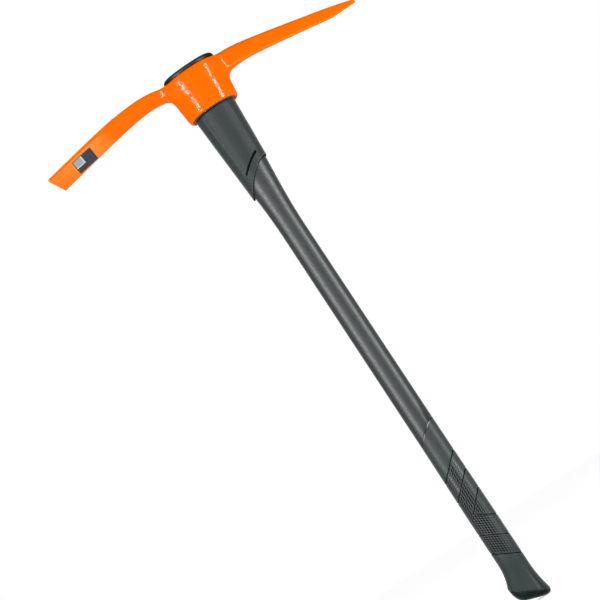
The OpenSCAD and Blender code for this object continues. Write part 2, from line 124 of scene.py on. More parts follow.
class AdzeSizes(bpy.types.PropertyGroup):
    reach: length("Reach", "Distance from the handle's axis to the cutting edge", 0.2555)
    drop: length("Drop", "Drop of the cutting edge below the eye's top", 0.0224)
    width: length("Width", "Width of the cutting edge", 0.0886)
    edge: length("Edge", "Thickness of the cutting edge", 0.0040)
    neck_width: length("Neck width", "Width of the arm at its neck", 0.0450)
    shoulder_width: length("Shoulder width", "Width of the blade at its shoulders", 0.0745)
    label_length: length("Label length", "Length of the blank label under the blade", 0.0345)
    label_width: length("Label width", "Width of the blank label across the blade", 0.0690)
    label_reach: length("Label reach", "Distance from the handle's axis to the label's middle", 0.2003)
    label_aside: length("Label aside", "Distance of the label's middle from the blade's", 0.0008)
    label_turn: slant("Label turn", "Turn of the blank label", 5.5)


class HandleSizes(bpy.types.PropertyGroup):
    shaft_width: length("Shaft width", "Width of the bare shaft", 0.0368)
    shaft_depth: length("Shaft depth", "Depth of the bare shaft", 0.0290)
    flare: length("Flare", "Length over which the neck narrows to the shaft", 0.2150)
    cap_thickness: length("Cap thickness", "Thickness of the eye cap", 0.0106)
    cap_overhang: length("Cap overhang", "Overhang of the cap past the eye", 0.0021)
    cap_round: length("Cap rounding", "Rounding of the cap's upper edge", 0.0043)
    cap_dip: length("Cap dip", "Dip of the cap's top at its front and back", 0.0027)
    guard_play: length("Guard play", "Play of the guard's top in the eye's mouth", 0.0013)
    guard_wall: length("Guard wall", "Wall of the guard at its top", 0.0028)
    guard_length: length("Guard length", "Length of the guard along the axis", 0.1206)
    guard_width: length("Guard width", "Width of the guard at its foot", 0.0522)
    guard_depth: length("Guard depth", "Depth of the guard at its foot", 0.0400)
    guard_slant: slant("Guard slant", "Slant of the guard's lower edge", 43.4)
    guard_rise: length("Guard rise", "Rise of the lower edge in the middle of the front", 0.0055)
    groove_slant: slant("Groove slant", "Slant of the guard's blind groove", 36.0)
    groove_lift: length("Groove lift", "Height of the groove's line above the lower edge", 0.0190)
    groove_rise: length("Groove rise", "Rise of the groove's middle over a straight line", 0.0018)
    groove_left: length("Groove left", "Left end of the groove", 0.0130)
    groove_right: length("Groove right", "Right end of the groove", 0.0185)


class GripSizes(bpy.types.PropertyGroup):
    height: length("Height", "Height of the grip's seam above the butt", 0.2780)
    slant: slant("Seam slant", "Slant of the grip's seam", 41.0)
    rise: length("Seam rise", "Rise of the seam in the middle of the front", 0.0030)
    groove_slant: slant("Groove slant", "Slant of the grip's upper grooves", 44.0)
    pitch: length("Pitch", "Pitch of the grip's grooves", 0.0310)
    apex: length("Apex", "Distance of the middle grooves' apex from the axis", 0.0080)
    swell: length("Swell", "Swell of the grip past the shaft", 0.0008)
    dimple_rise: length("Dimple rise", "Pitch of the dimples along the grip", 0.00375)
    dimple_run: length("Dimple run", "Pitch of the dimples across the grip", 0.0035)
    dimple_depth: length("Dimple depth", "Depth of the dimples in the grip's fields", 0.0003)
    knob_flare: length("Knob flare", "Flare of the knob along the head", 0.0072)
    knob_depth_flare: length("Knob depth flare", "Flare of the knob across the head", 0.0050)
    knob_length: length("Knob length", "Length of the knob's flare", 0.0420)
    knob_lean: length("Knob lean", "Lean of the knob's end towards the adze", 0.0009)
    crease: length("Crease", "Level of the crease on the axis", 0.01822)
    crease_slant: slant("Crease slant", "Slant of the crease", 28.4)
    crease_depth: length("Crease depth", "Depth of the crease", 0.0012)
    butt_level: length("Butt level", "Level of the butt's flat end on the axis", 0.0046)
    butt_slant: slant("Butt slant", "Slant of the butt's flat end", 17.8)
    butt_round: length("Butt rounding", "Inset of the butt's rounded edge", 0.0120)


class Finishes(bpy.types.PropertyGroup):
    enamel: colour("Enamel", "Orange enamel of the head", (0.98, 0.158, 0.0005))
    enamel_dark: colour("Enamel, thick", "Enamel where it runs thick", (0.95, 0.145, 0.0004))
    # Painted light: the blade's underside is coloured lighter, as if lit from below
    enamel_lit_under: colour("Enamel, thin", "Enamel rubbed thin under the blade", (1.0, 0.320, 0.050))
    enamel_edge: colour("Enamel, edge", "Enamel in the shade of an upper edge", (0.48, 0.090, 0.002))
    # Painted highlight along the pick's lower edges
    enamel_lower_highlight: colour("Enamel, lip", "Enamel on a polished lower edge", (1.0, 0.300, 0.020))
    cap: colour("Cap", "Black of the eye cap", (0.006, 0.006, 0.006))
    # Painted reflection: a lighter band round the cap's side
    cap_reflection: colour("Cap band", "Scuffed band round the eye cap", (0.040, 0.049, 0.053))
    jacket: colour("Jacket", "Grey of the shaft", (0.026, 0.034, 0.033))
    guard: colour("Guard", "Grey of the strike guard", (0.030, 0.039, 0.039))
    grip: colour("Grip", "Grey of the grip", (0.036, 0.047, 0.046))
    groove: colour("Groove", "Shade in the grooves", (0.002, 0.003, 0.003))
    butt: colour("Butt", "Near-black of the butt", (0.003, 0.008, 0.007))
    core: colour("Core", "Resin of the core rod", (0.70, 0.62, 0.42))
    label: colour("Label", "Slate of the blank label", (0.010, 0.017, 0.026))
    label_panel: colour("Label panel", "Pale panel of the blank label", (0.62, 0.62, 0.60))


class StageSettings(bpy.types.PropertyGroup):
    camera_place: spot("Camera place", "Where the camera stands", (0.146, -2.5, 0.150))
    camera_aim: spot("Camera aim", "Point in the picture's middle", (-0.0477, 0.0, 0.5354))
    camera_roll: slant("Camera roll", "Turn of the camera about its view", -33.207)
    camera_angle: slant("Camera angle", "Field of view", 19.244)
    floor_reach: length("Floor reach", "Half the size of the floor", 12.0)


# Shapes

def between(a, b, part):
    """Part of the way from a to b."""
    return a + (b - a) * part


def ease(part):
    """Falls smoothly from 1 to 0 as part goes from 0 to 1."""
    return (1 + math.cos(math.pi * min(1.0, max(0.0, part)))) / 2


def peak(x, middle, reach):
    """Rises smoothly to 1 at a middle, from 0 a reach away on either side."""
    return ease(abs(x - middle) / reach)


def fillet(x, start, reach, size):
    """Falls from size at a start to nothing a reach further on, as a hollow blend does."""
    return size * max(0.0, 1 - max(0.0, x - start) / reach) ** 2


def full(v, fullness=FULLNESS):
    """Signed power that gives an oval its fullness."""
    return math.copysign(abs(v) ** (2 / fullness), v)


def outward(x, y, half, fullness=FULLNESS):
    """Direction square to an oval of the given half sizes at one of its points."""
    return Vector((
        math.copysign(abs(x / half[0]) ** (fullness - 1) / half[0], x),
        math.copysign(abs(y / half[1]) ** (fullness - 1) / half[1], y),
        0.0,
    )).normalized()


def on_oval(x, y, half, fullness=FULLNESS):
    """Whether a point lies on an oval, and not on the wall inside it."""
    least = 0.97
    return abs(x / half[0]) ** fullness + abs(y / half[1]) ** fullness > least


def curve(points, x):
    """Value at x of a smooth curve through points, each (place, value)."""
    def slope(i):
        a, b = points[max(0, i - 1)], points[min(len(points) - 1, i + 1)]
        return (b[1] - a[1]) / (b[0] - a[0])

    x = min(max(x, points[0][0]), points[-1][0])
    i = max(k for k in range(len(points) - 1) if x >= points[k][0])
    span = points[i + 1][0] - points[i][0]
    t = (x - points[i][0]) / span
    rise = points[i + 1][1] - points[i][1]
    s0, s1 = slope(i) * span, slope(i + 1) * span
    return points[i][1] + s0 * t + (3 * rise - 2 * s0 - s1) * t * t + (s0 + s1 - 2 * rise) * t ** 3


def eye_half(z, extra=0.0):
    """Eye's inner half sizes at a level, grown by extra."""
    eye = bpy.context.scene.mattock_eye
    up = (z - eye.bottom) / (eye.top - eye.bottom)
    return (
        between(eye.mouth_length, eye.top_length, up) / 2 + extra,
        between(eye.mouth_width, eye.top_width, up) / 2 + extra,
    )


def shaft_half(z):
    """Bare handle's half sizes at a level below the eye."""
    eye, handle = bpy.context.scene.mattock_eye, bpy.context.scene.mattock_handle
    inset = 2 * (handle.guard_play + handle.guard_wall)
    swell = ease((eye.bottom - z) / handle.flare)
    return (
        between(handle.shaft_width, eye.mouth_length - inset, swell) / 2,
        between(handle.shaft_depth, eye.mouth_width - inset, swell) / 2,
    )


def guard_half(z):
    """Guard's outer half sizes at a level."""
    eye, handle = bpy.context.scene.mattock_eye, bpy.context.scene.mattock_handle
    top = eye_half(eye.bottom, -handle.guard_play)
    foot = handle.guard_width / 2, handle.guard_depth / 2
    down = (GUARD_TOP - z) / handle.guard_length
    least_wall = 0.0016
    return tuple(max(between(a, b, down), c + least_wall) for a, b, c in zip(top, foot, shaft_half(z)))


def knob_share(level):
    """Share of the knob's flare that the grip has at a level."""
    grip = bpy.context.scene.mattock_grip
    return max(0.0, 1 - (level - grip.crease) / grip.knob_length) ** 2


def grip_half(level):
    """Grip's half sizes on the ring that crosses the axis at a level."""
    handle, grip = bpy.context.scene.mattock_handle, bpy.context.scene.mattock_grip
    flare = knob_share(level)
    swell = grip.swell * ease((level - SWELL_LEVEL) / (grip.height - SWELL_LEVEL))
    lip = fillet(level, grip.crease, LIP_RUN * grip.crease_depth, grip.crease_depth)
    return (
        handle.shaft_width / 2 + swell + grip.knob_flare * flare - lip,
        handle.shaft_depth / 2 + swell + grip.knob_depth_flare * flare - lip,
    )


def grip_turn(level):
    """Slope and rise of the grip's ring at a level: they turn from the crease's to the seam's."""
    grip = bpy.context.scene.mattock_grip
    start = grip.crease + grip.knob_length
    turn = max(0.0, (level - start) / (grip.height - start))
    return between(-math.tan(grip.crease_slant), math.tan(grip.slant), turn), grip.rise * turn


def knob_fullness(level):
    """Fullness of the grip's ring: the knob is squarer than the grip."""
    return FULLNESS + KNOB_FULLNESS * knob_share(level)


def grip_level(x, z):
    """Level on the axis of the grip's ring through a point of the front view."""
    grip = bpy.context.scene.mattock_grip
    margin, halvings = 0.03, 40
    low, high = grip.crease - margin, grip.height + margin
    for _ in range(halvings):
        level = (low + high) / 2
        slope, rise = grip_turn(level)
        if level + slope * x + rise * (1 - min(1.0, (x / grip_half(level)[0]) ** 2)) < z:
            low = level
        else:
            high = level
    return (low + high) / 2


class Oval:
    """A tube that grows ring by ring from one oval, on a bmesh."""

    def __init__(self, bm, sides, turn=0.0):
        self.bm = bm
        self.c = bm.verts.layers.float.new("oval_c")
        self.s = bm.verts.layers.float.new("oval_s")
        self.row = bm.verts.layers.int.new("oval_row")
        made = bmesh.ops.create_circle(
            bm, segments=sides, radius=1.0, matrix=Matrix.Rotation(turn, 4, "Z")
        )
        self.verts = made["verts"]
        self.edges = bm.edges[:]
        self.count = 0
        for v in self.verts:
            v[self.c], v[self.s] = v.co.x, v.co.y

    def add(self, skin, level, slope=0.0, rise=0.0, aside=0.0, fullness=FULLNESS):
        """Lays the next ring at a level that may slant and rise. skin(z) gives its half sizes."""
        if self.count:
            geom = bmesh.ops.extrude_edge_only(self.bm, edges=self.edges)["geom"]
            self.verts = [g for g in geom if isinstance(g, bmesh.types.BMVert)]
            new = set(self.verts)
            self.edges = [
                g for g in geom
                if isinstance(g, bmesh.types.BMEdge) and g.verts[0] in new and g.verts[1] in new
            ]
        for v in self.verts:
            c, s = full(v[self.c], fullness), full(v[self.s], fullness)
            z = level + slope * (skin(level)[0] * c + aside) + rise * (1 - c * c)
            half = skin(z)
            v.co = (half[0] * c + aside, half[1] * s, z)
            v[self.row] = self.count
        self.count += 1

    def close(self):
        """Fills the last ring."""
        bmesh.ops.contextual_create(self.bm, geom=self.edges)


def even(half_width, half_depth):
    """Skin with the same size at every level."""
    return lambda z: (half_width, half_depth)


def slice_mesh(bm, point, normal):
    """Cuts edges into a mesh where a plane crosses it."""
    bmesh.ops.bisect_plane(
        bm, geom=bm.verts[:] + bm.edges[:] + bm.faces[:], dist=1e-6, plane_co=point, plane_no=normal
    )


def piece(name, bm, body, node, material, sharp=40.0, levels=0):
    """Turns a bmesh into a finished piece that rides on a body and stands for a CAD node."""
    bmesh.ops.recalc_face_normals(bm, faces=bm.faces)
    mesh = bpy.data.meshes.new(name)
    bm.to_mesh(mesh)
    bm.free()
    mesh.shade_smooth()
    if not levels:
        mesh.set_sharp_from_angle(angle=math.radians(sharp))
    obj = bpy.data.objects.new(name, mesh)
    bpy.context.scene.collection.objects.link(obj)
    mesh.materials.append(material)
    if levels:
        smooth = obj.modifiers.new("Smooth", "SUBSURF")
        smooth.levels = smooth.render_levels = levels
    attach(obj, body)
    if node:
        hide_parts(node)
    return obj


# Finishes

class Finish:
    """A material's nodes, added one after another."""

    def __init__(self, name):
        self.material = bpy.data.materials.new(name)
        self.material.use_nodes = True
        self.nodes = self.material.node_tree.nodes
        self.shader = self.nodes["Principled BSDF"]
        self.place = self.add("TexCoord").outputs["Object"]

    def put(self, socket, value):
        """Links a socket to an output, or sets its value."""
        if isinstance(value, bpy.types.NodeSocket):
            self.material.node_tree.links.new(value, socket)
        elif socket.type == "RGBA":
            socket.default_value = (*value, 1.0)
        else:
            socket.default_value = value

    def fill(self, node, values):
        """Links or sets a node's sockets by name: Base_Color means Base Color."""
        for name, value in values.items():
            self.put(node.inputs[name.replace("_", " ")], value)
        return node

    def add(self, kind, **values):
        """A new node with its sockets filled."""
        return self.fill(self.nodes.new("ShaderNode" + kind), values)

    def axes(self, vector):
        """A vector's X, Y and Z."""
        return self.add("SeparateXYZ", Vector=vector).outputs

    def stretched(self, scale):
        """Object coordinates scaled along each axis."""
        return self.add("Mapping", Vector=self.place, Scale=scale).outputs["Vector"]

    def noise(self, scale, detail=2.0, rough=0.5, vector=None):
        """Noise on object coordinates, or on another vector."""
        node = self.add("TexNoise", Vector=vector or self.place, Scale=scale, Detail=detail, Roughness=rough)
        return node.outputs["Fac"]

    def ramp(self, value, low, high, to_low=0.0, to_high=1.0):
        """Maps low to to_low and high to to_high, and holds past them."""
        node = self.add("MapRange", Value=value, From_Min=low, From_Max=high, To_Min=to_low, To_Max=to_high)
        return node.outputs["Result"]

    def mix(self, part, a, b):
        """Mixes two colours, each a colour or a socket."""
        node = self.nodes.new("ShaderNodeMix")
        node.data_type = "RGBA"
        for socket, value in ((node.inputs["Factor"], part), (node.inputs[6], a), (node.inputs[7], b)):
            self.put(socket, value)
        return node.outputs[2]

    def maths(self, operation, a, b=0.0):
        """One step of arithmetic on values or sockets."""
        node = self.nodes.new("ShaderNodeMath")
        node.operation = operation
        for socket, value in zip(node.inputs, (a, b)):
            self.put(socket, value)
        return node.outputs["Value"]

    def product(self, first, *others):
        """All of the values or sockets multiplied."""
        for other in others:
            first = self.maths("MULTIPLY", first, other)
        return first

    def rest(self, part):
        """What a part leaves of 1."""
        return self.maths("SUBTRACT", 1.0, part)

    def bump(self, height, strength, distance, **under):
        """A bumped normal, which may lie over another."""
        node = self.add("Bump", Height=height, Strength=strength, Distance=distance, **under)
        return node.outputs["Normal"]

    def attribute(self, name):
        """A value that the mesh itself carries."""
        node = self.nodes.new("ShaderNodeAttribute")
        node.attribute_name = name
        return node.outputs["Fac"]

    def set(self, **values):
        """Fills the shader's sockets and hands over the material."""
        self.fill(self.shader, values)
        return self.material


def enamel():
    """Glossy orange enamel over an uneven forging."""
    colours, top = bpy.context.scene.mattock_finishes, bpy.context.scene.mattock_eye.top
    f = Finish("head_enamel")
    at = f.axes(f.place)
    # The barrel is rough from the forge, the arms are drawn smooth
    rough = f.ramp(f.maths("ABSOLUTE", at["X"]), 0.028, 0.046, 1.0, 0.10)
    normal = f.bump(f.product(f.noise(120.0, 1.0), rough), 0.16, 0.0016)
    base = f.mix(f.ramp(f.noise(38.0, 3.0), 0.35, 0.7), colours.enamel, colours.enamel_dark)
    # The barrel's lumps break the shine into patches, which stop short of the lid
    gloss = f.ramp(f.noise(150.0, 3.0, 0.55), 0.44, 0.52, 0.012, 1.0)
    gloss = f.product(gloss, f.ramp(at["Z"], top - 0.013, top - 0.006, 1.0, 0.02))
    gloss = f.maths("MAXIMUM", gloss, f.maths("SUBTRACT", 0.45, rough))
    # Painted light from below on the blade's underside, broken into streaks along the way it digs and
    # strongest on the near side
    streak = f.ramp(f.noise(170.0, 3.0, 0.6, f.stretched((0.07, 1.0, 1.0))), 0.36, 0.62, 0.35, 1.0)
    near = f.ramp(at["Y"], -0.020, 0.035, 1.0, 0.45)
    thin = f.product(streak, near, f.ramp(f.attribute("blade"), 0.3, 1.0))
    base = f.mix(thin, base, colours.enamel_lit_under)
    # Painted shade along the upper edges, and a painted highlight along the pick's lower edges
    base = f.mix(f.ramp(f.attribute("edge"), 0.20, 0.7, 0.0, 0.6), base, colours.enamel_edge)
    base = f.mix(f.ramp(f.attribute("lip"), 0.35, 0.95, 0.0, 0.45), base, colours.enamel_lower_highlight)
    return f.set(
        Base_Color=base,
        Roughness=f.ramp(f.noise(110.0), 0.3, 0.7, 0.30, 0.42),
        Specular_IOR_Level=0.0,
        Coat_Weight=f.product(gloss, 0.06),
        Coat_Roughness=0.12,
        Normal=normal,
        Coat_Normal=normal,
    )


def moulding(
    name, tone, roughness, gloss, grain=0.14, streaks=0.0, sheen=0.60,
    banded=False, light_marked=False, hatched=False, dull=None,
):
    """Moulded plastic or rubber in one of the finishes' colours, with the painted highlights and painted
    shade that its mesh carries.
    """
    colours = bpy.context.scene.mattock_finishes
    f = Finish(name)

    def shade(times):
        return tuple(min(1.0, c * times) for c in getattr(colours, tone))

    drift = f.noise(22.0, 3.0, 0.55, f.stretched((1.0, 1.0, 0.25)))
    tint = f.mix(f.ramp(drift, 0.3, 0.7), shade(0.88), shade(1.16))
    tint = f.mix(f.ramp(f.noise(900.0, 2.0, 0.6), 0.25, 0.75, 0.0, 0.35), tint, shade(1.4))
    normal = f.bump(f.noise(1500.0, 2.0, 0.6), grain, 0.0004)
    if streaks:
        drawn = f.noise(140.0, vector=f.stretched((1.0, 1.0, 0.05)))
        normal = f.bump(drawn, streaks, 0.0006, Normal=normal)
    if banded:
        # Painted reflection in a lighter band round the side, between the black edges
        tint = f.mix(f.attribute("band"), tint, colours.cap_reflection)
    if hatched:
        # Painted shade in the dimples, which lie in rows and columns, with a lighter net between them, and
        # painted glints in some of them
        across, along = (
            f.maths("COSINE", f.product(f.attribute(way), 2 * math.pi)) for way in ("column", "row")
        )
        wave = f.maths("ADD", across, along)
        hatch = f.attribute("hatch")
        dimple = f.product(f.ramp(wave, *DIMPLE_WAVE), hatch)
        spark = f.product(f.ramp(wave, 0.4, 1.6), f.attribute("spark"))
        tint = f.mix(hatch, tint, shade(1.45))
        tint = f.mix(dimple, tint, shade(0.1))
        tint = f.mix(spark, tint, shade(7.0))
        gloss = f.product(f.rest(dimple), gloss)
    if light_marked:
        # Painted highlights on rims and ridges, and painted shade in grooves, gaps and hollows, with hardly
        # any gloss in them
        groove = f.attribute("groove")
        tint = f.mix(f.attribute("rim"), tint, shade(8.0))
        tint = f.mix(groove, tint, colours.groove)
        gloss = f.product(f.rest(f.product(groove, 0.9)), gloss)
        sheen = f.product(f.rest(groove), sheen)
    if dull:
        # Rubbed dull below a level
        gloss = f.product(f.ramp(f.axes(f.place)["Z"], *dull, 0.12, 1.0), gloss)
    return f.set(
        Base_Color=tint,
        Roughness=f.ramp(f.noise(300.0), 0.3, 0.7, roughness - 0.05, roughness + 0.06),
        Specular_IOR_Level=gloss,
        Sheen_Weight=sheen,
        Sheen_Roughness=0.35,
        Normal=normal,
    )


def label_print():
    """Blank label: slate with a plain pale panel, on the label's own UV map."""
    colours = bpy.context.scene.mattock_finishes
    f = Finish("blade_label")
    uv = f.nodes.new("ShaderNodeUVMap")
    uv.uv_map = "UVMap"
    at = f.axes(uv.outputs["UV"])

    def within(axis, low, high):
        return f.product(f.maths("GREATER_THAN", at[axis], low), f.maths("LESS_THAN", at[axis], high))

    panel = f.product(within("X", 0.03, 0.48), within("Y", 0.04, 0.60))
    middle = f.product(within("X", 0.0, 0.42), within("Y", 0.0, 0.53))
    grey = tuple(c * share for c, share in zip(colours.label_panel, (0.5, 0.58, 0.62)))
    worn = f.ramp(f.noise(700.0), 0.3, 0.75, 0.0, 0.25)
    slate = f.mix(worn, colours.label, tuple(c * 1.6 for c in colours.label))
    return f.set(
        Base_Color=f.mix(panel, slate, f.mix(middle, colours.label_panel, grey)),
        Roughness=f.ramp(f.noise(250.0), 0.3, 0.7, 0.45, 0.60),
        Specular_IOR_Level=0.10,
        Normal=f.bump(f.noise(300.0, 1.0), 0.1, 0.0002),
    )


def resin():
    """Pale glass-fibre rod with long strands."""
    base = tuple(bpy.context.scene.mattock_finishes.core)
    f = Finish("core_resin")
    strands = f.noise(900.0, 2.0, 0.6, f.stretched((1.0, 1.0, 0.02)))
    return f.set(
        Base_Color=f.mix(f.ramp(strands, 0.3, 0.7), tuple(c * 0.8 for c in base), base),
        Roughness=0.45,
        Normal=f.bump(strands, 0.15, 0.0003),
    )


# Head

def pick_section(x):
    """Half width, top and bottom of the pick arm at a distance from the handle's axis."""
    eye, pick = bpy.context.scene.mattock_eye, bpy.context.scene.mattock_pick
    neck, start = 0.094, pick.reach - pick.bevel
    drops = [(ARM_ROOT, 0.0003), (0.062, 0.0004), (neck, 0.0052), (start, 0.0346), (pick.reach, pick.drop)]
    drawn = min(x, start)
    height = curve([(ARM_ROOT, 0.028), (neck, 0.0238), (start, 0.0156)], drawn)
    width = curve([(ARM_ROOT, pick.root_width), (neck, pick.neck_width), (start, pick.bevel_width)], drawn)
    point = max(0.0, (x - start) / pick.bevel)
    top = eye.top - curve(drops, x)
    return (
        between(width, pick.tip_width, point) / 2 + fillet(x, 0.0415, 0.011, 0.005),
        top,
        top - between(height, pick.tip_height, point) - fillet(x, 0.0385, 0.011, 0.006),
    )


def adze_section(x):
    """Half width, top and bottom of the adze arm at a distance from the handle's axis."""
    eye, adze = bpy.context.scene.mattock_eye, bpy.context.scene.mattock_adze
    neck, shoulder = 0.088, 0.140
    places = (ARM_ROOT, neck, shoulder, adze.reach)
    drops = [
        (ARM_ROOT, 0.0003), (0.060, -0.0043), (neck, -0.0071), (shoulder, 0.0006), (adze.reach, adze.drop),
    ]
    thickness = curve(list(zip(places, (0.0112, 0.0134, 0.0075, adze.edge))), x)
    width = curve(list(zip(places, (adze.neck_width, adze.neck_width, adze.shoulder_width, adze.width))), x)
    top = eye.top - curve(drops, x)
    return (
        width / 2 + fillet(x, 0.0310, 0.020, 0.0055),
        top,
        top - thickness - fillet(x, 0.0385, 0.020, 0.014),
    )


def grow_arm(bm, oval, faces, way, stations, section, across, keel=0.0):
    """Extrudes faces of the barrel into an arm, along +X where way is 1 and along -X where it is -1.

    Across places the arm's lines between its sides, and keel narrows its underside.
    """
    lines = sorted({round(v[oval.s], 5) for f in faces for v in f.verts})
    rows = sorted({v[oval.row] for f in faces for v in f.verts})
    blade, edge, lip = (bm.verts.layers.float[name] for name in ("blade", "edge", "lip"))
    # Share of painted light along the adze's underside, by distance from the axis
    under_light = [(0.0, 0.0), (0.138, 0.0), (0.165, 1.0), (0.200, 1.0), (0.230, 0.6), (0.26, 0.6)]
    keel_run = 0.03
    for x in stations:
        made = bmesh.ops.extrude_face_region(bm, geom=faces)["geom"]
        old = [f for f in faces if f.is_valid]
        if old:
            bmesh.ops.delete(bm, geom=old, context="FACES")
        faces = [g for g in made if isinstance(g, bmesh.types.BMFace)]
        half, top, bottom = section(x)
        for v in (g for g in made if isinstance(g, bmesh.types.BMVert)):
            up = rows.index(v[oval.row]) / (len(rows) - 1)
            side = across[lines.index(round(v[oval.s], 5))]
            slim = 1 - keel * min(1.0, (x - ARM_ROOT) / keel_run) * (1 - up) ** 2
            v.co = (way * x, side * half * slim, between(bottom, top, up))
            # Marks for painted shade along the upper edges and a painted highlight along the pick's lower
            # edges
            v[edge] = float(up == 1 and abs(side) == 1)
            v[lip] = float(up == 0 and abs(side) == 1 and way == 1)
            # Painted light from below on the adze's underside
            if up == 0 and way == -1:
                v[blade] = curve(under_light, x)


class MATTOCK_OT_head(bpy.types.Operator):
    """Forges the head: a barrel round the eye, with the pick and the adze drawn out of it"""

    bl_idname = "mattock.head"
    bl_label = "Head"

    def execute(self, context):
        eye, pick, adze = context.scene.mattock_eye, context.scene.mattock_pick, context.scene.mattock_adze
        sides = 16
        # A subdivided ring of so many sides shrinks by this much
        grow = 3 / (2 + math.cos(2 * math.pi / sides))
        bm = bmesh.new()
        for name in ("blade", "edge", "lip"):
            bm.verts.layers.float.new(name)
        oval = Oval(bm, sides, math.pi / sides)
        # Barrel's section down its bore, round its lip and up its outside: growth past the eye, and level
        rows = [
            (0.0, eye.top), (0.0, eye.top - 0.0035), (0.0, eye.top - 0.033), (0.0, eye.bottom + 0.005),
            (0.0006, eye.bottom + 0.0014), (0.0022, eye.bottom),
            (0.0043, eye.bottom), (0.0059, eye.bottom + 0.0014),
        ]
        rows += [(eye.wall, eye.bottom + up) for up in (0.005, 0.0155, 0.0285, 0.0405, 0.0525)]
        rows += [
            (eye.wall, eye.top - 0.0044), (eye.wall - 0.0004, eye.top - 0.0008), (eye.wall - 0.0029, eye.top),
        ]
        first = oval.edges
        for extra, z in rows:
            oval.add(lambda level, e=extra: tuple(h * grow for h in eye_half(level, e)), z)
        bmesh.ops.bridge_loops(bm, edges=first + oval.edges)
        # The arms grow from faces at the barrel's two ends, found by their rows and their turn in degrees
        pick_rows, adze_rows = set(range(10, 15)), set(range(11, 15))
        barrel = eye_half(eye.top, eye.wall)
        pick_faces, adze_faces = [], []
        for f in bm.faces:
            centre = f.calc_center_median()
            found = {v[oval.row] for v in f.verts}
            turn = abs(math.degrees(math.atan2(centre.y / barrel[1], centre.x / barrel[0])))
            if found <= pick_rows and turn < 34:
                pick_faces.append(f)
            if found <= adze_rows and turn > 124:
                adze_faces.append(f)
        start = pick.reach - pick.bevel
        roots = [0.0490, 0.0540, 0.0620]
        grow_arm(
            bm, oval, pick_faces, 1,
            roots + [0.0780, 0.0940, 0.1240, 0.1560, 0.1880, start - 0.006, start, start + 0.006,
                     between(start, pick.reach, 0.5), pick.reach - 0.008, pick.reach - 0.0015, pick.reach],
            pick_section, [-1, -0.5, 0.5, 1], keel=0.55,
        )
        grow_arm(
            bm, oval, adze_faces, -1,
            roots + [0.0750, 0.0880, 0.1020, 0.1160, 0.1280, 0.1400, 0.1560, 0.1850, 0.2200,
                     adze.reach - 0.008, adze.reach - 0.0015, adze.reach],
            adze_section, [-1, -0.92, -0.3, 0.3, 0.92, 1],
        )
        piece("head_forging", bm, "head", "mattock_head", enamel(), levels=eye.detail)
        return {"FINISHED"}


class MATTOCK_OT_label(bpy.types.Operator):
    """Lays a blank label on the underside of the adze"""

    bl_idname = "mattock.label"
    bl_label = "Blank label"

    def execute(self, context):
        head = bpy.data.objects["head_forging"]
        tree = BVHTree.FromObject(head, context.evaluated_depsgraph_get())
        adze, eye = context.scene.mattock_adze, context.scene.mattock_eye
        # The label is laid out below the blade, then pressed up to just under it
        below, lift = eye.bottom - 0.038, 0.00012
        bm = bmesh.new()
        bmesh.ops.create_grid(bm, x_segments=8, y_segments=14, size=0.5, calc_uvs=False)
        uv = bm.loops.layers.uv.new("UVMap")
        for f in bm.faces:
            for loop in f.loops:
                loop[uv].uv = (loop.vert.co.x + 0.5, loop.vert.co.y + 0.5)
        size = Matrix.Diagonal((adze.label_length, adze.label_width, 1.0, 1.0))
        turn = Matrix.Rotation(adze.label_turn, 4, "Z")
        place = Matrix.Translation((-adze.label_reach, adze.label_aside, below))
        bmesh.ops.transform(bm, matrix=place @ turn @ size, verts=bm.verts)
        for v in bm.verts:
            hit = tree.ray_cast(v.co, Vector((0, 0, 1)))[0]
            if hit is None:
                raise RuntimeError("the label lies past the blade")
            v.co.z = hit.z - lift
        obj = piece("blade_label", bm, "head", None, label_print())
        if obj.data.polygons[0].normal.z > 0:
            obj.data.flip_normals()
        return {"FINISHED"}


# Handle

class MATTOCK_OT_cap(bpy.types.Operator):
    """Moulds the domed lid over the eye"""

    bl_idname = "mattock.cap"
    bl_label = "Eye cap"

    def execute(self, context):
        eye, handle = context.scene.mattock_eye, context.scene.mattock_handle
        seat = CAP_TOP - handle.cap_thickness
        half = eye_half(eye.top, handle.cap_overhang)
        foot, edge, dome = 0.0012, handle.cap_round, 0.0011
        rim = CAP_TOP - dome
        bm = bmesh.new()
        oval = Oval(bm, 96)
        # Lid's section from its seat up: inset and level
        rows = [(0.010, seat)]
        for step in range(4):
            a = math.radians(30 * step)
            rows.append((foot * (1 - math.sin(a)), seat + foot * (1 - math.cos(a))))
        rows += [(0.0, seat + 0.0022), (0.0, seat + 0.0042)]
        for step in range(9):
            a = math.radians(11.25 * step)
            rows.append((edge * (1 - math.cos(a)), rim - edge * (1 - math.sin(a))))
        for inset, z in rows:
            oval.add(even(half[0] - inset, half[1] - inset), z)
            if oval.count == 1:
                oval.close()
        rings = 9
        for i in range(1, rings):
            out = 1 - i / rings
            oval.add(even((half[0] - edge) * out, (half[1] - edge) * out), rim + dome * (1 - out ** 2))
        oval.close()
        # The lid thins towards its front and back, and a painted reflection lies as a band along its side's
        # rows
        band = bm.verts.layers.float.new("band")
        share = {5: 0.7, 6: 1.0, 7: 0.9, 8: 0.6, 9: 0.3}
        for v in bm.verts:
            thin = handle.cap_dip / handle.cap_thickness * (v.co.y / half[1]) ** 2
            v.co.z -= (v.co.z - seat) * thin
            v[band] = share.get(v[oval.row], 0.0) * ease((abs(v.co.x) / half[0] - 0.5) / 0.4)
        finish = moulding("cap_black", "cap", 0.40, 0.02, 0.10, sheen=0.04, banded=True)
        piece("cap_lid", bm, "handle", "eye_cap", finish)
        return {"FINISHED"}


